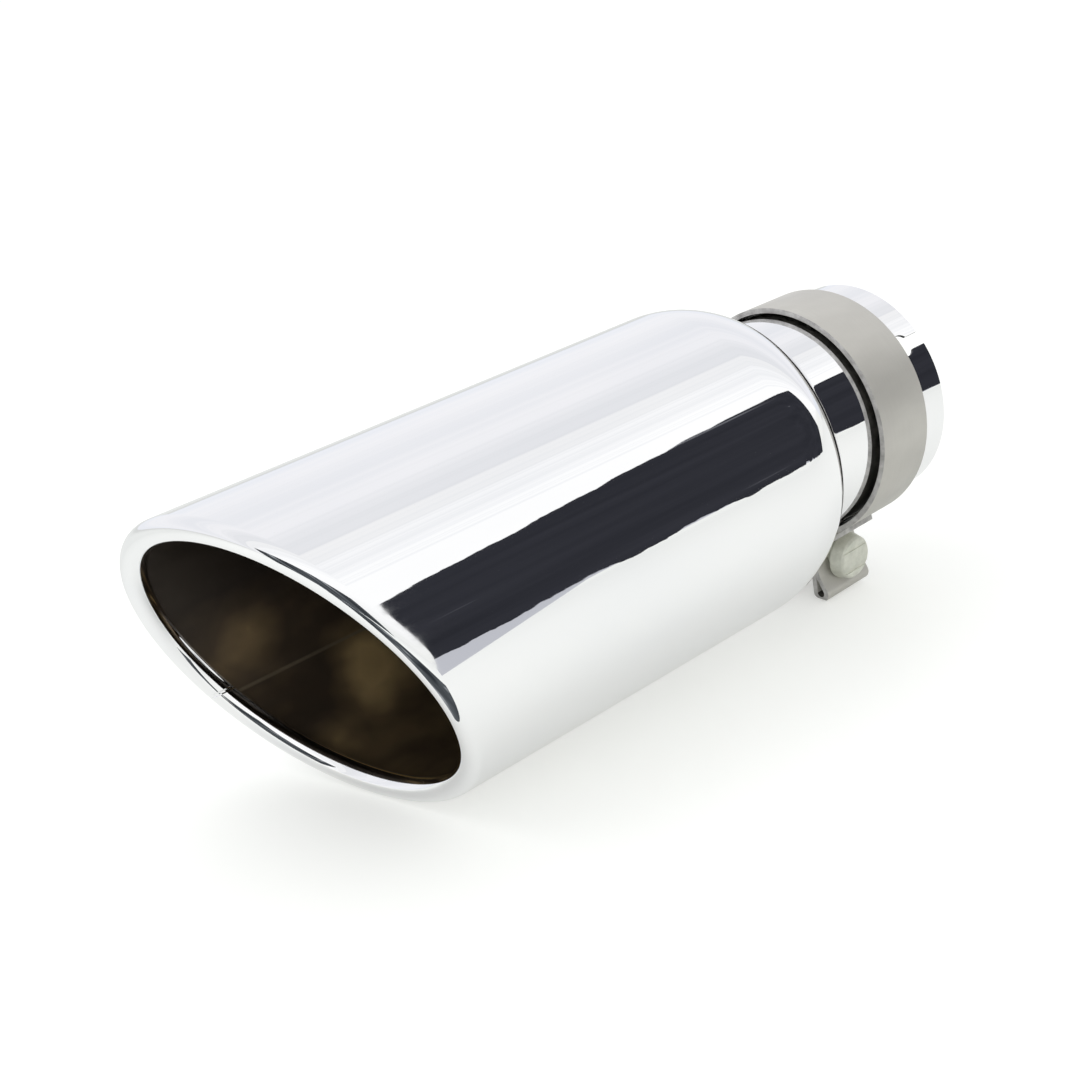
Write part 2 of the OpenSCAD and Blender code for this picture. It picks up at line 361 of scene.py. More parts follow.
class Tree:
    """A node tree, with short calls for the nodes that the finishes and the world share."""

    def __init__(self, tree: bpy.types.NodeTree, place: str) -> None:
        """Empties the tree and starts it with coordinates.

        Args:
            tree: The tree to build in.
            place: The coordinates' name on Texture Coordinate.
        """
        self.nodes, self.links = tree.nodes, tree.links
        self.nodes.clear()
        self.place = self.put("TexCoord").outputs[place]

    def put(self, kind: str, inputs: dict | None = None, **settings: object) -> bpy.types.Node:
        """Adds a node.

        Args:
            kind: Blender's name of the node, after ShaderNode.
            inputs: What each input gets, a socket or a plain value.
            settings: The node's own values by name.

        Returns:
            The new node.
        """
        node = self.nodes.new(f"ShaderNode{kind}")
        for key, value in settings.items():
            setattr(node, key, value)
        for key, value in (inputs or {}).items():
            if isinstance(value, Socket):
                self.links.new(value, node.inputs[key])
            else:
                node.inputs[key].default_value = value
        return node

    def axes(self) -> tuple[Socket, Socket, Socket]:
        """The coordinates along X, Y and Z."""
        return tuple(self.put("SeparateXYZ", {0: self.place}).outputs)

    def math(self, kind: str, *parts: Socket | float) -> Socket:
        """One step of arithmetic, by Blender's name."""
        return self.put("Math", dict(enumerate(parts)), operation=kind).outputs[0]

    def times(self, *parts: Socket | float) -> Socket:
        """Multiplies sockets and numbers.

        Args:
            parts: What to multiply, the first one a socket.

        Returns:
            The socket with the product.
        """
        product = parts[0]
        for part in parts[1:]:
            product = self.math("MULTIPLY", product, part)
        return product

    def line(self, value: Socket, slope: float, start: Socket | float) -> Socket:
        """The value times a slope, plus a start."""
        return self.math("MULTIPLY_ADD", value, slope, start)

    def past(self, value: Socket, start: float) -> Socket:
        """The square of how far the value is past a start, or 0 before it."""
        over = self.math("MAXIMUM", self.math("SUBTRACT", value, start), 0)
        return self.times(over, over)

    def spread(self, value: Socket, low: float, high: float, start: float = 0.3, end: float = 0.7) -> Socket:
        """Maps a value from one range to another.

        Args:
            value: The value's socket.
            low: The result at the start.
            high: The result at the end.
            start: The value that gives low.
            end: The value that gives high.

        Returns:
            The socket with the result.
        """
        inputs = {"Value": value, "From Min": start, "From Max": end, "To Min": low, "To Max": high}
        return self.put("MapRange", inputs).outputs[0]

    def ramp(self, value: Socket, stops: Stops) -> Socket:
        """Turns a value into colours.

        Args:
            value: The value's socket.
            stops: Each stop's place and colour.

        Returns:
            The socket with the colour.
        """
        node = self.put("ValToRGB", {0: value})
        stops = list(stops)
        while len(node.color_ramp.elements) < len(stops):
            node.color_ramp.elements.new(0.5)
        for element, (where, colour) in zip(node.color_ramp.elements, stops):
            element.position = where
            element.color = (*colour, 1)
        return node.outputs[0]

    def mix(self, factor: Socket, under: Socket, over: Triple) -> Socket:
        """Lays a colour over another by a factor."""
        inputs = {"Factor": factor, "A": under, "B": (*over, 1)}
        return self.put("Mix", inputs, data_type="RGBA").outputs["Result"]


class Sheet(Tree):
    """A material's node tree round one Principled shader."""

    def __init__(self, name: str) -> None:
        """Makes a plain material on the object's coordinates.

        Args:
            name: The material's name.
        """
        self.material = bpy.data.materials.new(name)
        self.material.use_nodes = True
        super().__init__(self.material.node_tree, "Object")
        self.shader = self.put("BsdfPrincipled")
        self.output = self.put("OutputMaterial")
        self.show(self.shader.outputs[0])

    def show(self, shader: Socket) -> None:
        """Makes a shader the one that shows."""
        self.links.new(shader, self.output.inputs["Surface"])

    def finish(self, **inputs: Socket | float) -> Material:
        """Fills the shader's inputs.

        Args:
            inputs: Sockets or plain values, by the inputs' names with underscores for spaces.

        Returns:
            The finished material.
        """
        for key, value in inputs.items():
            slot = self.shader.inputs[key.replace("_", " ")]
            if isinstance(value, Socket):
                self.links.new(value, slot)
            else:
                slot.default_value = value
        return self.material

    def mapped(self, scale: Triple) -> Socket:
        """The object's coordinates, scaled along each axis."""
        return self.put("Mapping", {"Vector": self.place, "Scale": scale}).outputs[0]

    def noise(self, place: Socket, scale: float, detail: float, rough: float = 0.5) -> Socket:
        """Adds a noise.

        Args:
            place: The coordinates' socket.
            scale: The noise's scale.
            detail: How many finer layers it has.
            rough: How strong the finer layers are.

        Returns:
            The socket with the noise's value.
        """
        inputs = {"Vector": place, "Scale": scale, "Detail": detail, "Roughness": rough}
        return self.put("TexNoise", inputs).outputs[0]

    def bump(
        self, height: Socket, distance: float, strength: float = 1, under: Socket | None = None
    ) -> Socket:
        """Adds a bump.

        Args:
            height: The height's socket.
            distance: The height of a full step, in metres.
            strength: How much of the bump is used.
            under: The normal of a bump that this one lies on, if any.

        Returns:
            The socket with the normal.
        """
        inputs = {"Height": height, "Distance": distance, "Strength": strength}
        if under is not None:
            inputs["Normal"] = under
        return self.put("Bump", inputs).outputs[0]

    def emission(self, colour: Socket | tuple, strength: Socket | float = 1) -> Socket:
        """A shader that glows."""
        return self.put("Emission", {"Color": colour, "Strength": strength}).outputs[0]

    def seam(self, turn: float, half: float) -> Socket:
        """A narrow line along the pipe.

        Args:
            turn: The line's turn round the pipe from straight up towards +X, in degrees.
            half: Half of its width, in metres.

        Returns:
            The socket that is 1 on the line and 0 beside it.
        """
        x, _, z = self.axes()
        sine, cosine = math.sin(math.radians(turn)), math.cos(math.radians(turn))
        aside = self.math("SUBTRACT", self.times(x, cosine), self.times(z, sine))
        ahead = self.math("ADD", self.times(x, sine), self.times(z, cosine))
        near = self.spread(self.math("ABSOLUTE", aside), 1, 0, half * 0.5, half * 1.5)
        return self.times(near, self.math("GREATER_THAN", ahead, 0))

    def glow(self, centre: Triple, radius: float) -> Socket:
        """A soft spot round a point.

        Args:
            centre: The spot's middle, in metres.
            radius: Where it has faded away, in metres.

        Returns:
            The socket that falls from 1 in the middle to 0 at the radius.
        """
        away = self.put("VectorMath", {0: self.place, 1: centre}, operation="DISTANCE")
        return self.spread(away.outputs["Value"], 1, 0, 0, radius)


@dataclass(frozen=True)
class MirrorPolish:
    """Mirror-polished sheet, faintly wavy, with fine polishing lines and a seam's notch in the roll."""

    tint: Triple = (0.94, 0.94, 0.94)
    deep: Triple = (0.90, 0.905, 0.915)
    wave: float = 0.00006
    seam_turn: float = -117.0
    notch_half: float = 0.0005
    notch_deep: float = 0.0004
    roll_inside: float = 0.0615
    roll_from: float = -0.2

    def make(self) -> Material:
        """Builds the material.

        Returns:
            The finished material.
        """
        sheet = Sheet("mirror_polish")
        lines = sheet.noise(sheet.mapped((1, 0.04, 1)), 420, 2)
        clouds = sheet.noise(sheet.mapped((1, 0.4, 1)), 26, 2)
        x, along, z = sheet.axes()
        out = sheet.math("SQRT", sheet.math("ADD", sheet.times(x, x), sheet.times(z, z)))
        notch = sheet.times(
            sheet.seam(self.seam_turn, self.notch_half),
            sheet.math("LESS_THAN", out, self.roll_inside),
            sheet.math("LESS_THAN", along, self.roll_from),
        )
        return sheet.finish(
            Base_Color=sheet.ramp(clouds, [(0.3, self.deep), (0.7, self.tint)]),
            Roughness=sheet.spread(lines, 0.015, 0.04),
            Normal=sheet.bump(notch, -self.notch_deep, under=sheet.bump(clouds, self.wave)),
            Metallic=1,
        )


@dataclass(frozen=True)
class BrownInsidePaintedLight:
    """Unpolished brown inside of the shell, with painted light in soft golden-brown pools and on its lower
    side, and the sheet's seam.
    """

    seam_turn: float = -119.5
    seam_half: float = 0.0006
    bead: Triple = (0.30, 0.25, 0.17)
    # Painted pools of light: each spot's centre and radius, in metres.
    painted_light_spots: tuple[tuple[Triple, float], ...] = (
        ((-0.051, -0.230, -0.035), 0.017),
        ((-0.0435, -0.226, -0.0446), 0.020),
        ((-0.040, -0.239, -0.048), 0.015),
        ((-0.061, -0.268, -0.0125), 0.016),
        ((-0.031, -0.258, -0.054), 0.013),
    )
    # Colours from the random dark-brown tone up to the painted, lit golden-brown.
    stain_and_light_stops: tuple[tuple[float, Triple], ...] = (
        (0.34, (0.048, 0.038, 0.030)),
        (0.5, (0.10, 0.073, 0.048)),
        (0.64, (0.27, 0.19, 0.10)),
        (0.82, (0.80, 0.58, 0.27)),
    )

    def make(self) -> Material:
        """Builds the material, with painted light: the random tone grows paler towards the bottom of the
        pipe and brightens in painted pools of light.

        Returns:
            The finished material.
        """
        sheet = Sheet("brown_inside_painted_light")
        mottle_and_painted_light = sheet.line(sheet.noise(sheet.mapped((1, 0.6, 1)), 30, 3), 0.6, 0.09)
        # Painted light: paler towards the bottom of the pipe.
        mottle_and_painted_light = sheet.line(sheet.axes()[2], -3.4, mottle_and_painted_light)
        # Painted pools of light at these spots.
        for centre, radius in self.painted_light_spots:
            mottle_and_painted_light = sheet.line(sheet.glow(centre, radius), 0.2, mottle_and_painted_light)
        seam = sheet.times(sheet.seam(self.seam_turn, self.seam_half), 0.6)
        grain = sheet.noise(sheet.mapped((1, 0.3, 1)), 160, 2)
        return sheet.finish(
            Base_Color=sheet.mix(seam, sheet.ramp(mottle_and_painted_light, self.stain_and_light_stops), self.bead),
            Roughness=sheet.spread(grain, 0.34, 0.46),
            Normal=sheet.bump(grain, 0.00002, 0.5),
            Metallic=0.75,
        )


@dataclass(frozen=True)
class SatinStrip:
    """Rolled stainless strip with a satin finish, warm grey."""

    pale: Triple = (0.61, 0.596, 0.553)
    dark: Triple = (0.54, 0.526, 0.487)

    def make(self) -> Material:
        """Builds the material.

        Returns:
            The finished material.
        """
        sheet = Sheet("satin_strip")
        scratches = sheet.noise(sheet.mapped((0.12, 2.2, 0.12)), 900, 3)
        mottle = sheet.noise(sheet.mapped((1, 0.4, 1)), 60, 3)
        return sheet.finish(
            Base_Color=sheet.ramp(mottle, [(0.3, self.dark), (0.7, self.pale)]),
            Roughness=sheet.spread(scratches, 0.46, 0.58),
            Normal=sheet.bump(scratches, 0.00003, 0.5),
            Metallic=0.45,
        )


@dataclass(frozen=True)
class DullPlateAndPaintedShade:
    """Dull plated or bare steel with a fine grain, used on the fastener, the block, the weld and the sheared
    edges; also used as painted shade on the strip's inside and on the slots' cut walls.
    """

    name: str
    pale: Triple
    dark: Triple
    metal: float = 0.85
    smooth: float = 0.42
    rough: float = 0.6
    grain: float = 0.00006

    def make(self) -> Material:
        """Builds the material.

        Returns:
            The finished material.
        """
        sheet = Sheet(self.name)
        mottle = sheet.noise(sheet.place, 240, 4, 0.6)
        pits = sheet.noise(sheet.place, 1400, 2)
        return sheet.finish(
            Base_Color=sheet.ramp(mottle, [(0.32, self.dark), (0.66, self.pale)]),
            Roughness=sheet.spread(mottle, self.smooth, self.rough),
            Normal=sheet.bump(pits, self.grain, 0.5),
            Metallic=self.metal,
        )


# The tip itself


@dataclass
class Shell:
    """The polished shell: a domed shoulder, a wall and a rolled edge round the slanted mouth."""

    body_r: float = 63.5
    wall: float = 1.2
    rim_r: float = 45.9
    rim_y: float = -63.0
    dome_r: float = 44.0
    dome_steps: int = 32
    mouth_mid: float = -278.4
    mouth_spare: float = 20.0
    slant: float = 25.9
    turn: float = 135.2
    roll_r: float = 4.5
    roll_sweep: float = 232.0
    roll_steps: int = 40
    rings: int = 240

    @property
    def dome_mid(self) -> float:
        """Distance of the dome arc's centre from the axis."""
        return self.body_r - self.dome_r

    @property
    def dome_y(self) -> float:
        """Place of the dome arc's centre along the pipe."""
        return self.rim_y - math.sqrt(self.dome_r**2 - (self.rim_r - self.dome_mid) ** 2)

    @property
    def path_r(self) -> float:
        """Distance of the rolled edge's middle line from the axis."""
        return self.body_r - self.roll_r

    @property
    def rise(self) -> float:
        """How far the mouth's middle line swings along the pipe, to each side."""
        return math.tan(math.radians(self.slant)) * self.path_r

    def roll_place(self, angle: float, sweep: float) -> Vector:
        """A point on the outside of the rolled edge.

        Args:
            angle: The turn round the pipe from straight up towards +X, in radians.
            sweep: How far round the roll, from its tangent with the wall, in radians.

        Returns:
            The point, in metres.
        """
        swing = angle - math.radians(self.turn)
        sine, cosine = math.sin(angle), math.cos(angle)
        radial = Vector((sine, 0, cosine))
        middle = self.path_r * radial + Vector((0, self.mouth_mid + self.rise * math.cos(swing), 0))
        along = Vector((self.path_r * cosine, -self.rise * math.sin(swing), -self.path_r * sine))
        forward = along.cross(radial).normalized()
        return (middle + self.roll_r * (math.cos(sweep) * radial + math.sin(sweep) * forward)) * MM

    def roll_edge(self) -> None:
        """Extrudes the cut edge of the open mesh step by step round the roll."""
        for step in range(1, self.roll_steps + 1):
            extrude(CENTRE)
            sweep = math.radians(self.roll_sweep) * step / self.roll_steps
            mesh = bmesh.from_edit_mesh(bpy.context.edit_object.data)
            for vertex in mesh.verts:
                if vertex.select:
                    vertex.co = self.roll_place(math.atan2(vertex.co.x, vertex.co.z), sweep)
            bmesh.update_edit_mesh(bpy.context.edit_object.data)

    def build(self, polish: Material, inside: Material) -> None:
        """Spins the profile, cuts the mouth, rolls its edge and gives the sheet its thickness.

        Args:
            polish: The outside's material.
            inside: The inside's material.
        """
        shell = start_point("shell", Vector((self.rim_r, self.rim_y, 0)) * MM)
        arc = math.degrees(math.acos((self.rim_r - self.dome_mid) / self.dome_r))
        spin(Vector((self.dome_mid, self.dome_y, 0)) * MM, UPRIGHT, -arc, self.dome_steps)
        extrude(Vector((0, self.mouth_mid - self.rise - self.mouth_spare - self.dome_y, 0)) * MM)
        revolve(PIPE_AXIS, self.rings)
        slope, turn = self.rise / self.body_r, math.radians(self.turn)
        lean = Vector((-slope * math.sin(turn), 1, -slope * math.cos(turn)))
        middle = Vector((0, self.mouth_mid, 0)) * MM
        bpy.ops.mesh.bisect(plane_co=tuple(middle), plane_no=tuple(lean), clear_inner=True)
        grab(lambda place: abs((place - middle).dot(lean)) < 1e-6)
        self.roll_edge()
        turn_outward(shell)
        self.face_out(shell)
        shell.data.materials.append(polish)
        shell.data.materials.append(inside)
        thicken(shell, self.wall, -1, material_offset=1)
        round_off(shell, 0)
        modify(shell, "WEIGHTED_NORMAL", keep_sharp=True)
        hand_over(shell, "polished_shell", "outer_shell")

    def face_out(self, shell: Piece) -> None:
        """Turns the open sheet's faces round if its wall points at the pipe axis.

        Args:
            shell: The open sheet.
        """
        wall = max(shell.data.polygons, key=lambda face: face.area)
        if wall.normal.dot(Vector((wall.center.x, 0, wall.center.z))) < 0:
            open_mesh(shell)
            bpy.ops.mesh.flip_normals()
            to_object_mode()


@dataclass
class Neck:
    """The inlet neck: a thin tube with keyhole slots at its open end."""

    outer_r: float = 45.8
    wall: float = 1.2
    inner_end: float = -75.0
    slots: int = 4
    slot_turn: float = 50.0
    slot_w: float = 5.6
    slot_len: float = 10.8
    slot_end_d: float = 9.5
    cutter_out: float = 46.0
    cutter_h: float = 12.0
    bar_past: float = 2.0
    rings: int = 240

    def slot_cutter(self, cut: Material) -> Piece:
        """A keyhole-shaped solid that stands on top of the neck.

        Args:
            cut: The material of the slots' cut edges, a painted shade.

        Returns:
            The cutter.
        """
        end_r = self.slot_end_d / 2
        cutter = rod(end_r, self.cutter_h, 64, shift(0, -self.slot_len, self.cutter_out))
        mouth = math.sqrt(end_r**2 - (self.slot_w / 2) ** 2) - self.slot_len
        open_mesh(cutter)
        bpy.ops.mesh.bisect(plane_co=(0, mouth * MM, 0), plane_no=(0, 1, 0), clear_outer=True, use_fill=True)
        bar_size = (self.slot_w, self.slot_len + 2 * self.bar_past, self.cutter_h + 0.2)
        carve(cutter, box((0, self.bar_past - self.slot_len / 2, self.cutter_out), bar_size), Meet.ADD)
        cutter.data.materials.append(cut)
        return cutter

    def build(self, polish: Material, cut: Material) -> None:
        """Makes the tube, cuts its slots and rounds its edges.

        Args:
            polish: The neck's material.
            cut: The material of the slots' cut edges, a painted shade.
        """
        size = {"radius": self.outer_r * MM, "depth": -self.inner_end * MM}
        neck = add("cylinder", "neck", vertices=self.rings, end_fill_type="NOTHING", **size)
        settle(neck, shift(0, self.inner_end / 2, 0) @ rotation(90, "X"))
        turn_outward(neck)
        thicken(neck, self.wall, -1)
        neck.data.materials.append(polish)
        cutter = self.slot_cutter(cut)
        for index in range(self.slots):
            turn = self.slot_turn + 360 * index / self.slots
            carve(neck, settle(duplicate(cutter), rotation(turn, "Y")))
        discard(cutter)
        round_off(neck, 0.22)
        modify(neck, "WEIGHTED_NORMAL", keep_sharp=True)
        hand_over(neck, "polished_neck", "inlet_neck")


# The clamp and its fastener


@dataclass
class Clamp:
    """The loose band clamp's strip, in the clamp's own frame: X across, Y up and Z back along the pipe."""

    back: float = 31.0
    nod: float = 2.0
    yaw: float = 3.2
    slack: float = 1.4
    hang_gap: float = 0.2
    neck_r: float = 45.8
    width: float = 28.0
    thick: float = 2.1
    lug_half_gap: float = 5.8
    lug_lean: float = 18.0
    lug_flat: float = 17.4
    throat_r: float = 4.0
    drop_side: float = 6.1
    drop_inner: float = 1.7
    drop_below: float = 10.5
    bend_inner: float = 1.0
    fold_gap: float = 0.1
    foot_len: float = 11.0
    foot_slope: float = 13.0
    foot_rise: float = 0.4
    corner: float = 2.5
    hole_d: float = 11.0
    bolt_out: float = 60.2
    nugget_r: float = 2.5
    nugget_h: float = 2.3
    nugget_lift: float = 1.3
    ring_step: float = 3.0
    bend_step: float = 9.0

    @property
    def middle_r(self) -> float:
        """Radius of the band's middle line."""
        return self.neck_r + self.slack + self.thick / 2

    @property
    def bend(self) -> float:
        """Radius of a sharp bend's middle line."""
        return self.bend_inner + self.thick / 2

    @property
    def drop_r(self) -> float:
        """Radius of the teardrop's middle line."""
        return self.drop_inner + self.thick / 2

    @property
    def root(self) -> float:
        """Turn from straight down to where the ring ends and the lug's bend starts, in degrees."""
        return math.degrees(math.asin((self.lug_half_gap + self.bend) / self.middle_r))

    @property
    def place(self) -> Matrix:
        """The clamp's frame, hung loosely on the neck.

        Returns:
            The place of the frame in the part's own.
        """
        half = self.width / 2
        aside = half * math.sin(math.radians(self.yaw))
        drop = math.sqrt((self.slack - self.hang_gap) ** 2 - aside**2)
        drop -= half * math.sin(math.radians(self.nod))
        turn = Euler((math.radians(-self.nod), 0, math.radians(self.yaw))).to_matrix().to_4x4()
        return shift(0, -self.back, -drop) @ turn @ rotation(90, "X")

    def bolt_place(self, side: Side) -> Matrix:
        """The bolt's frame, with Z out of the clamp on one side."""
        return self.place @ shift(0, -self.bolt_out, 0) @ rotation(side.value * 90, "Y")

    def drop_angle(self) -> float:
        """Finds the opening angle of the teardrop at a lug's end by halving.

        Returns:
            The angle, in degrees.
        """
        layer = self.thick / 2 + self.fold_gap / 2
        low, high = 0.0, 60.0
        for _ in range(HALVINGS):
            mid = math.radians((low + high) / 2)
            out = layer + self.throat_r * (1 - math.cos(mid)) + self.drop_side * math.sin(mid)
            if out > self.drop_r * math.cos(mid):
                high = (low + high) / 2
            else:
                low = (low + high) / 2
        return (low + high) / 2

    def route(self) -> list[Triple]:
        """The strip's middle line from the top of the band to the end of the foot.

        Returns:
            Steps of a length, a radius and a turn in degrees, a left turn above zero.
        """
        lean = self.drop_angle()
        leg = self.lug_flat - self.thick - self.fold_gap - self.foot_rise
        return [
            (0, self.middle_r, self.root - 180),
            (0, self.bend, 90 + self.lug_lean - self.root),
            (self.lug_flat, 0, 0),
            (0, self.throat_r, -lean),
            (self.drop_side, 0, 0),
            (0, self.drop_r, 180 + 2 * lean),
            (self.drop_side, 0, 0),
            (0, self.throat_r, -lean),
            (leg, 0, 0),
            (0, self.bend, -(90 + self.lug_lean - self.foot_slope)),
            (self.foot_len, 0, 0),
        ]

    def walk(self) -> tuple[Vector, float]:
        """Extrudes and spins the selected edge along the route.

        Returns:
            Where the strip ends and its heading there, in degrees.
        """
        here, heading = Vector((0, self.middle_r, 0)), 0.0
        for length, radius, turn in self.route():
            ahead = Vector((math.cos(math.radians(heading)), math.sin(math.radians(heading)), 0))
            if radius == 0:
                extrude(ahead * length * MM)
                here = here + ahead * length
                continue
            side = 1 if turn > 0 else -1
            centre = here + Vector((-ahead.y, ahead.x, 0)) * radius * side
            step = self.ring_step if radius == self.middle_r else self.bend_step
            spin(centre * MM, UPRIGHT, turn, max(4, math.ceil(abs(turn) / step)))
            here = centre + rotation(turn, "Z").to_3x3() @ (here - centre)
            heading += turn
        return here, heading

    def corner_cutter(self, tip: float, end: int) -> Piece:
        """A solid that takes the corners off both lugs at one end of the strip.

        Args:
            tip: Distance of the lugs' tips from the band's middle.
            end: 1 for the rear edge of the strip, -1 for the front.

        Returns:
            The cutter.
        """
        edge, inset, side = end * self.width / 2, self.corner / 2 - 0.5, self.corner + 1
        block = box((0, inset - tip, edge - end * inset), (110, side, side))
        turned = shift(0, self.corner - tip, edge - end * self.corner) @ rotation(90, "Y")
        carve(block, rod(self.corner, 120, 96, turned))
        return block

    def nuggets(self, here: Vector, heading: float) -> list[Piece]:
        """Spot welds between the feet and the band, one of them modelled and then copied.

        Args:
            here: Where the foot ends.
            heading: The foot's direction, in degrees.

        Returns:
            The welds, four in all.
        """
        first = rod(self.nugget_r, self.nugget_h, 32, Matrix())
        open_mesh(first)
        bpy.ops.mesh.bevel(offset=0.2 * MM, segments=2, affect="EDGES")
        upright = rotation(heading, "Z") @ rotation(90, "X")
        middle = here + upright.col[0].to_3d() * -self.foot_len / 2
        made = []
        for side in Side:
            for along in (-self.width / 4, self.width / 4):
                place = shift(middle.x, middle.y + self.nugget_lift, along) @ upright
                made.append(settle(duplicate(first), Matrix.Diagonal((side.value, 1, 1, 1)) @ place))
                turn_outward(made[-1])
        discard(first)
        return made

    def paint_inner_shade(self, band: Piece) -> None:
        """Leaves the dark back, a painted shade, in view only inside the ring and inside the teardrops of
        the folded lugs.

        Args:
            band: The solid strip, in the clamp's own frame; its back, the painted shade, is slot 0 and its
                face slot 1.
        """
        for face in band.data.polygons:
            if face.material_index > 1:
                continue
            if face.center.y < -(self.bolt_out + self.drop_below) * MM:
                face.material_index = 1 - face.material_index
            elif face.center.xy.length > self.middle_r * MM:
                face.material_index = 1

    def build(self, back: Material, satin: Material, sheared: Material) -> None:
        """Bends the strip from the top of the band to its foot, mirrors it and finishes it.

        Args:
            back: The material of the strip's back, a painted shade.
            satin: The material of its face.
            sheared: The material of its cut edges.
        """
        band = start_point("band", Vector((0, self.middle_r, -self.width / 2)) * MM)
        extrude(Vector((0, 0, self.width)) * MM)
        bpy.ops.mesh.select_all(action="SELECT")
        here, heading = self.walk()
        to_object_mode()
        modify(band, "MIRROR", use_axis=(True, False, False), use_clip=True, merge_threshold=1e-5)
        turn_outward(band)
        for material in (back, satin, sheared):
            band.data.materials.append(material)
        thicken(band, self.thick, 0, material_offset=1, material_offset_rim=2)
        self.paint_inner_shade(band)
        tip = -min(vertex.co.y for vertex in band.data.vertices) / MM
        drill = rod(self.hole_d / 2, 90, 64, shift(0, -self.bolt_out, 0) @ rotation(90, "Y"))
        for tool in (self.corner_cutter(tip, 1), self.corner_cutter(tip, -1), drill):
            tool.data.materials.append(sheared)
            carve(band, tool)
        round_off(band, 0.18, 42)
        band = merge(band, self.nuggets(here, heading))
        settle(band, self.place)
        hand_over(band, "satin_band", "clamp_band")


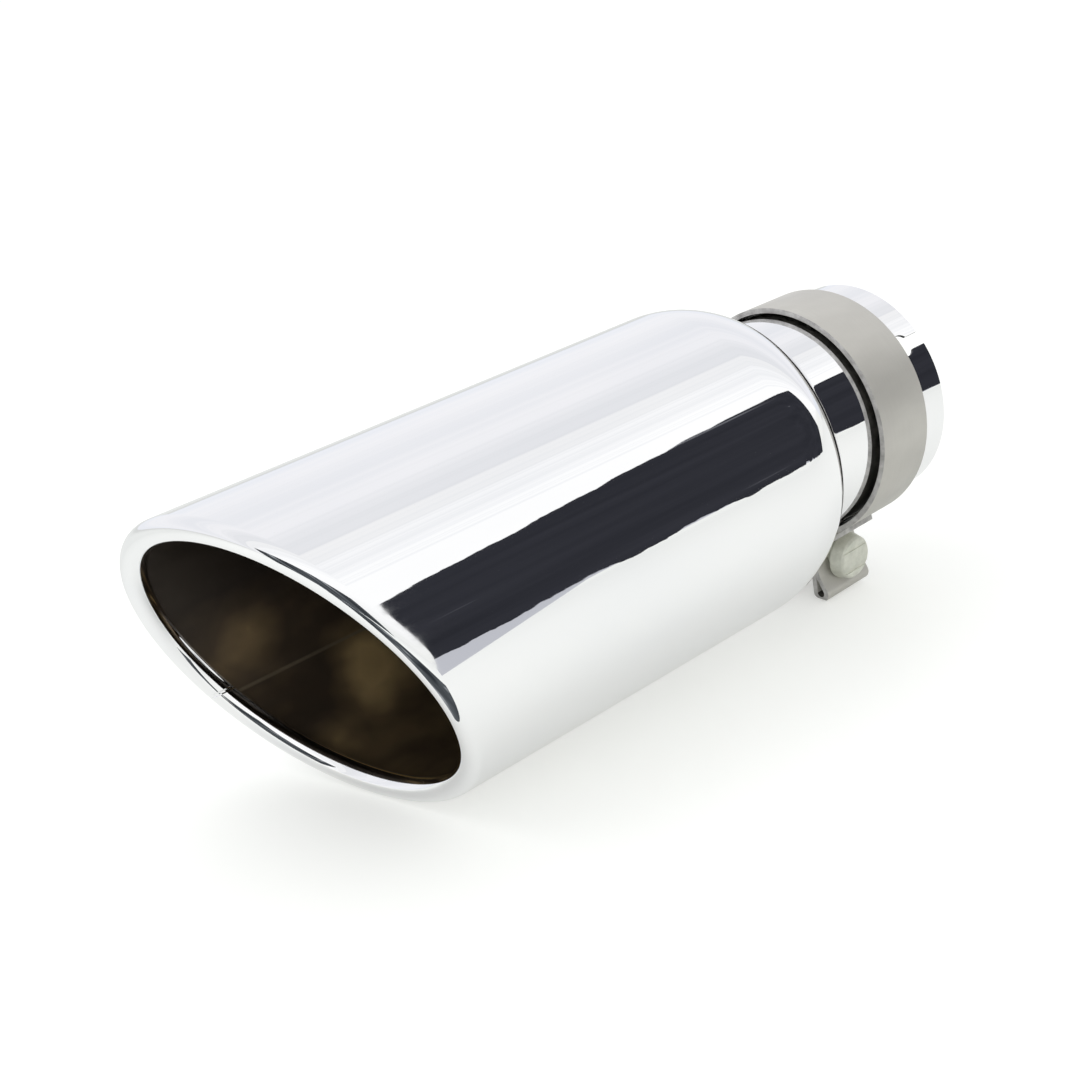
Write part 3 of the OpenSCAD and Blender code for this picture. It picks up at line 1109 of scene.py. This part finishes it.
@dataclass
class Bolt:
    """The clamp's bolt: a low conical head with two grooves, a slanted seat and a threaded end."""

    clamp: Clamp
    shank_r: float = 5.0
    rim_out: float = 17.4
    rim_r: float = 10.0
    face_r: float = 8.8
    head_h: float = 5.6
    seat_in: float = 6.0
    seat_h: float = 2.6
    seat_r: float = 6.5
    seat_gap: float = 0.3
    flare: float = 1.2
    groove_w: float = 1.6
    groove_deep: float = 0.5
    groove_off: float = 4.8
    nut_af: float = 16.0
    nut_h: float = 8.4
    nut_chamfer: float = 0.4
    past: float = 3.5
    pitch: float = 1.5
    thread_deep: float = 0.75
    rings: int = 96

    @property
    def top(self) -> float:
        """Distance of the head's face from the clamp's middle."""
        return self.rim_out + self.head_h

    def head_line(self) -> list[tuple[float, float]]:
        """The head's profile from the shank to the middle of its face.

        Returns:
            The profile's corners, as radius and height in millimetres.
        """
        return [
            (self.shank_r, self.seat_in),
            (self.seat_r, self.seat_in),
            (self.seat_r, self.rim_out - self.seat_h),
            (self.seat_r + self.flare, self.rim_out - 1.5),
            (self.rim_r, self.rim_out - 0.4),
            (self.rim_r, self.rim_out + 0.5),
            (self.face_r + 0.35, self.top - 0.9),
            (self.face_r - 0.5, self.top),
            (0.0, self.top),
        ]

    def shank_line(self) -> list[tuple[float, float]]:
        """The shank's profile from its end, over the thread that shows past the nut, to the head.

        Returns:
            The profile's corners, as radius and height in millimetres.
        """
        end = -(self.rim_out + self.nut_h + self.past)
        line = [(0.0, end), (self.shank_r - 1.0, end), (self.shank_r - 0.2, end + 0.8)]
        here = end + 1.0
        while here < end + self.past + self.pitch:
            line += [(self.shank_r, here + 0.25), (self.shank_r, here + 0.45)]
            line.append((self.shank_r - self.thread_deep, here + 1.1))
            here += self.pitch
        line += [(self.shank_r, here + 0.25), (self.shank_r, self.rim_out - 1)]
        return line + [(0.0, self.rim_out - 1)]

    def turned(self, name: str, line: list[tuple[float, float]]) -> Piece:
        """Turns a profile round the bolt's axis, as on a lathe.

        Args:
            name: The piece's name.
            line: The profile's corners, as radius and height in millimetres.

        Returns:
            The turned piece, a closed solid.
        """
        piece = start_point(name, Vector((line[0][0], 0, line[0][1])) * MM)
        for (r0, z0), (r1, z1) in zip(line, line[1:]):
            extrude(Vector((r1 - r0, 0, z1 - z0)) * MM)
        revolve(UPRIGHT, self.rings)
        turn_outward(piece)
        return piece

    def slant(self, head: Piece) -> None:
        """Cuts the head's underside to the lug's lean.

        Args:
            head: The head, in the bolt's frame.
        """
        clamp = self.clamp
        lean, root = math.radians(clamp.lug_lean), math.radians(clamp.root)
        across = (clamp.middle_r + clamp.bend) * math.sin(root) - clamp.bend * math.cos(lean)
        down = (clamp.middle_r + clamp.bend) * math.cos(root) + clamp.bend * math.sin(lean)
        middle = across + (clamp.bolt_out - down) * math.tan(lean)
        face = middle + (1.5 * clamp.thick + clamp.fold_gap + self.seat_gap) / math.cos(lean)
        open_mesh(head)
        plane = {"plane_co": (0, 0, face * MM), "plane_no": (0, math.sin(lean), math.cos(lean))}
        bpy.ops.mesh.bisect(clear_inner=True, use_fill=True, **plane)
        to_object_mode()
        LOG.info("%s sits %.2f mm out on its lug", head.name, face)

    def finish(self, piece: Piece, side: Side, zinc: Material, node: str) -> None:
        """Moves a finished piece of the fastener to its place and hands it over.

        Args:
            piece: The piece, in the bolt's frame.
            side: The side of the clamp that it belongs to.
            zinc: The fastener's material.
            node: The CAD node that the piece stands for.
        """
        settle(piece, self.clamp.bolt_place(side))
        piece.data.materials.append(zinc)
        hand_over(piece, "zinc_fastener", node)

    def build_bolt(self, zinc: Material) -> None:
        """Makes the head, the shank and the thread, and joins them.

        Args:
            zinc: The fastener's material.
        """
        head = self.turned("bolt", self.head_line())
        self.slant(head)
        for place in (-self.groove_off, self.groove_off):
            carve(head, box((0, place, self.top - self.groove_deep + 1), (30, self.groove_w, 2)))
        round_off(head, 0.2, 25)
        shank = self.turned("shank", self.shank_line())
        round_off(shank, 0, 30)
        self.finish(merge(head, [shank]), Side.HEAD, zinc, "clamp_bolt")

    def build_nut(self, zinc: Material) -> None:
        """Makes the six-sided nut with its chamfered corners and its bore.

        Args:
            zinc: The fastener's material.
        """
        low, high = self.rim_out, self.rim_out + self.nut_h
        flat_r = self.nut_af / 2 - self.nut_chamfer
        corner_r = self.nut_af / 2 / math.cos(math.radians(30))
        nut = rod(corner_r, self.nut_h, 6, shift(0, 0, (low + high) / 2), "nut")
        cone = [
            (0.0, low - 0.05),
            (flat_r, low - 0.05),
            (corner_r + 0.2, low + 1.0),
            (corner_r + 0.2, high - 1.0),
            (flat_r, high + 0.05),
            (0.0, high + 0.05),
        ]
        carve(nut, self.turned("cone", cone), Meet.KEEP_COMMON)
        carve(nut, rod(self.shank_r + 0.05, 80, 64, Matrix()))
        round_off(nut, 0.15, 25)
        self.finish(nut, Side.NUT, zinc, "clamp_nut")


# The studio


@dataclass
class Studio:
    """A pale floor, soft light, cards that only the polish reflects, and the photograph's camera."""

    eye: Triple = (0.39800, -0.45535, 0.24033)
    right: Triple = (0.62564, 0.76685, -0.14321)
    up: Triple = (-0.26271, 0.37996, 0.88691)
    back: Triple = (0.73454, -0.51727, 0.43919)
    lens: float = 49.48
    sensor: float = 36.0
    floor_size: float = 60.0
    floor_glow: float = 0.44
    mirror_glow: float = 0.29
    far_glow: float = 0.13
    shake: float = 0.12
    card_place: Triple = (400.0, 700.0, 200.0)
    card_size: Triple = (0.8, 1.8, 1.0)
    panel_place: Triple = (335.0, -777.0, 130.0)
    panel_size: Triple = (0.66, 0.42, 1.0)
    panel_turn: float = 35.0
    foot_place: Triple = (217.1, -547.2, -39.5)
    foot_size: Triple = (0.585, 0.17, 1.0)
    foot_tilt: float = -3.9
    foot_turn: float = -74.0
    key_place: Triple = (-0.5, -0.7, 1.3)
    key_size: float = 1.2
    key_power: float = 6.0
    streaks: tuple[tuple[float, Triple], ...] = (
        (-150, (0.86, 0.88, 0.93)),
        (-100, (0.84, 0.87, 0.94)),
        (-70, (0.95, 0.95, 0.98)),
        (-45, (0.87, 0.88, 0.92)),
        (-25, (0.94, 0.94, 0.97)),
        (-5, (0.82, 0.83, 0.86)),
        (7, (0.96, 0.96, 0.97)),
        (11, (0.90, 0.91, 0.93)),
        (13, (1.02, 1.02, 1.03)),
        (17, (0.94, 0.95, 0.97)),
        (19, (1.04, 1.04, 1.05)),
        (22, (0.98, 0.99, 1.01)),
        (25, (1.09, 1.09, 1.09)),
        (50, (1.08, 1.08, 1.08)),
        (70, (1.02, 1.02, 1.02)),
        (88, (0.93, 0.94, 0.92)),
    )

    def camera(self) -> None:
        """Puts the camera where the photograph was taken from."""
        lens = bpy.data.cameras.new("camera")
        lens.lens, lens.sensor_width, lens.clip_start = self.lens, self.sensor, 0.01
        camera = bpy.data.objects.new("camera", lens)
        bpy.context.scene.collection.objects.link(camera)
        axes = Matrix((self.right, self.up, self.back)).transposed()
        camera.matrix_world = Matrix.Translation(self.eye) @ axes.to_4x4()
        bpy.context.scene.camera = camera

    def resting_tilt(self) -> tuple[float, float]:
        """The floor that touches both the mouth's lower edge and the lugs' tips.

        Returns:
            The floor's tilt in radians and its height at the inlet end, in metres.
        """
        shell = [v.co.copy() for v in bpy.data.objects["outer_shell"].data.vertices]
        band = [v.co.copy() for v in bpy.data.objects["clamp_band"].data.vertices]

        def lowest(points: list[Vector], tilt: float) -> float:
            """Lowest height of these points above a floor with this tilt."""
            return min(p.z * math.cos(tilt) + p.y * math.sin(tilt) for p in points)

        low, high = 0.0, math.radians(12)
        for _ in range(HALVINGS):
            tilt = (low + high) / 2
            if lowest(shell, tilt) > lowest(band, tilt):
                low = tilt
            else:
                high = tilt
        return tilt, lowest(band, tilt)

    def floor(self) -> None:
        """Lays the pale floor under the part; it keeps the part's shadow."""
        tilt, height = self.resting_tilt()
        LOG.info("floor tilts %.2f degrees", math.degrees(tilt))
        down = Vector((0, math.sin(tilt), math.cos(tilt))) * height
        floor = add("plane", "floor", size=self.floor_size)
        settle(floor, Matrix.Translation(down) @ Matrix.Rotation(-tilt, 4, "X"))
        sheet = Sheet("pale_floor")
        grain = sheet.noise(sheet.place, 0.8, 2)
        tones = sheet.ramp(grain, [(0.3, (0.61, 0.62, 0.60)), (0.7, (0.63, 0.64, 0.62))])
        floor.data.materials.append(sheet.finish(Base_Color=tones, Roughness=1, Specular_IOR_Level=0))
        path = sheet.put("LightPath").outputs
        fade = sheet.spread(sheet.axes()[0], self.far_glow, self.mirror_glow, -0.25, -0.05)
        seen = sheet.times(path["Is Camera Ray"], self.floor_glow)
        strength = sheet.math("ADD", seen, sheet.times(path["Is Glossy Ray"], fade))
        glow = sheet.emission((1, 1, 0.98, 1), strength)
        sheet.show(sheet.put("AddShader", {0: sheet.shader.outputs[0], 1: glow}).outputs[0])

    def dark_card(self) -> None:
        """Stands a dark card beside the part, with slightly torn edges and a pale wedge under one end."""
        card = add("plane", "dark_card", size=1)
        upright = shift(*self.card_place) @ rotation(90, "Y")
        settle(card, upright @ Matrix.Diagonal((*self.card_size, 1)))
        sheet = Sheet("dark_card")
        _, along, height = sheet.axes()
        torn = sheet.spread(sheet.noise(sheet.mapped((1, 1, 0.3)), 16, 5, 0.6), -0.014, 0.014)
        torn = sheet.math("ADD", height, sheet.times(torn, sheet.spread(along, 1, 0.2, 0.25, 0.5)))
        top = sheet.math("MINIMUM", sheet.line(along, 0.349, 0.376), sheet.line(along, 0.14, 0.44))
        foot = sheet.math("MINIMUM", sheet.line(along, -0.165, 0.05), 0.013)
        foot = sheet.math("MAXIMUM", foot, sheet.line(along, 0.19, -0.25))
        end = sheet.line(sheet.past(height, 0.2), -2.2, 1.52)
        begun = sheet.math("GREATER_THAN", along, sheet.line(sheet.past(height, 0.05), 0.488, -0.102))
        strip = sheet.times(
            sheet.math("LESS_THAN", torn, top),
            sheet.math("GREATER_THAN", torn, foot),
            begun,
            sheet.math("LESS_THAN", along, end),
        )
        under = sheet.math("MAXIMUM", sheet.line(along, -0.66, 0.007), 0)
        wedge = sheet.times(
            sheet.math("GREATER_THAN", height, sheet.math("SUBTRACT", foot, under)),
            sheet.math("LESS_THAN", torn, foot),
            begun,
        )
        tone = sheet.math("ADD", sheet.noise(sheet.mapped((1, 0.5, 3)), 6, 3), sheet.times(wedge, 2))
        stops = [(0.3, (0.024, 0.025, 0.032)), (0.7, (0.034, 0.035, 0.044)), (0.99, (0.55, 0.56, 0.61))]
        dark = sheet.emission(sheet.ramp(tone, stops))
        clear = sheet.put("BsdfTransparent").outputs[0]
        cover = sheet.math("MAXIMUM", strip, wedge)
        sheet.show(sheet.put("MixShader", {0: cover, 1: clear, 2: dark}).outputs[0])
        self.hide_away(card, sheet.material)

    def grey_panel(self) -> None:
        """Stands a grey panel before the mouth, its foot near it, for the dark lines in the rolled edge."""
        panel = add("plane", "grey_panel", size=1)
        upright = shift(*self.panel_place) @ rotation(self.panel_turn, "Z") @ rotation(90, "X")
        settle(panel, upright @ Matrix.Diagonal((*self.panel_size, 1)))
        foot = add("plane", size=1)
        flat = shift(*self.foot_place) @ rotation(self.foot_tilt, "X") @ rotation(self.foot_turn, "Z")
        settle(foot, flat @ Matrix.Diagonal((*self.foot_size, 1)))
        sheet = Sheet("grey_panel")
        tone = sheet.noise(sheet.mapped((1, 1, 0.1)), 14, 3)
        stops = [(0.35, (0.03, 0.034, 0.04)), (0.58, (0.10, 0.11, 0.12)), (0.68, (0.5, 0.52, 0.55))]
        sheet.show(sheet.emission(sheet.ramp(tone, stops)))
        self.hide_away(merge(panel, [foot]), sheet.material)

    def hide_away(self, card: Piece, material: Material) -> None:
        """Leaves a card to the mirror's eye alone.

        Args:
            card: The card.
            material: Its material.
        """
        card.data.materials.append(material)
        card.visible_camera = False
        card.visible_diffuse = False
        card.visible_shadow = False

    def world(self) -> None:
        """Lights the part evenly; the polish sees pale streaks that run along the pipe."""
        world = bpy.data.worlds.new("studio")
        bpy.context.scene.world = world
        world.use_nodes = True
        sky = Tree(world.node_tree, "Generated")
        across, _, up = sky.axes()
        angle = sky.math("ARCTAN2", across, up)
        bands = sky.put("TexNoise", {"W": angle, "Scale": 7, "Detail": 4}, noise_dimensions="1D")
        turn = sky.spread(angle, 0, 1, -math.pi, math.pi)
        shaken = sky.line(bands.outputs[0], self.shake, turn)
        stops = [((degrees + 180) / 360 + self.shake / 2, colour) for degrees, colour in self.streaks]
        seen = sky.put("LightPath").outputs["Is Camera Ray"]
        glow = sky.put("Background", {"Color": sky.mix(seen, sky.ramp(shaken, stops), (1, 1, 1))})
        sky.put("OutputWorld", {"Surface": glow.outputs[0]})

    def lamp(self) -> None:
        """Hangs one soft square lamp that faces the part and shows in no reflection."""
        key = bpy.data.lights.new("key", "AREA")
        key.shape, key.size, key.energy = "SQUARE", self.key_size, self.key_power
        lamp = bpy.data.objects.new("key", key)
        bpy.context.scene.collection.objects.link(lamp)
        lamp.location = self.key_place
        lamp.rotation_mode = "QUATERNION"
        lamp.rotation_quaternion = (lamp.location - Vector((0, -0.15, 0))).to_track_quat("Z", "Y")
        lamp.visible_glossy = False

    def set_up(self) -> None:
        """Builds the whole studio."""
        self.camera()
        self.floor()
        self.dark_card()
        self.grey_panel()
        self.world()
        self.lamp()
        bpy.context.scene.view_settings.view_transform = "Standard"


def dress(node: str, material: Material) -> None:
    """Gives a CAD node that stays in view its material."""
    bpy.data.objects[node].data.materials.clear()
    bpy.data.objects[node].data.materials.append(material)


def main() -> None:
    """Loads the frame, builds each piece in order and sets up the studio."""
    logging.basicConfig(level=logging.INFO, format="%(name)s: %(message)s")
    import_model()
    polish = MirrorPolish().make()
    satin = SatinStrip().make()
    zinc = DullPlateAndPaintedShade("zinc_plate", (0.77, 0.78, 0.69), (0.61, 0.62, 0.535), metal=0.3, grain=0.00015).make()
    # Painted shade: near black for the strip's sides that lie in shade, inside the ring and inside the lugs'
    # teardrops.
    back = DullPlateAndPaintedShade("painted_shade_strip_inside", (0.12, 0.115, 0.10), (0.06, 0.057, 0.05), metal=0.5).make()
    edge = (0.60, 0.59, 0.57), (0.34, 0.33, 0.32)
    sheared = DullPlateAndPaintedShade("sheared_edge", *edge, metal=0.2, grain=0.0003).make()
    # Painted shade: the slots' cut walls are near black as they lie in shade.
    cut = DullPlateAndPaintedShade("painted_shade_slot_wall", (0.05, 0.05, 0.055), (0.025, 0.026, 0.03), 0.6, 0.2, 0.3).make()
    block = DullPlateAndPaintedShade("block_steel", (0.40, 0.39, 0.36), (0.27, 0.26, 0.24)).make()
    bead = DullPlateAndPaintedShade("weld_bead", (0.30, 0.25, 0.20), (0.14, 0.11, 0.09), grain=0.0004).make()
    Shell().build(polish, BrownInsidePaintedLight().make())
    Neck().build(polish, cut)
    clamp = Clamp()
    clamp.build(back, satin, sheared)
    bolt = Bolt(clamp)
    bolt.build_bolt(zinc)
    bolt.build_nut(zinc)
    dress("neck_weld", bead)
    dress("bridge_plate", satin)
    dress("reaction_block", block)
    dress("seat_washer", zinc)
    Studio().set_up()
    to_object_mode()
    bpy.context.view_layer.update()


if __name__ == "__main__":
    main()
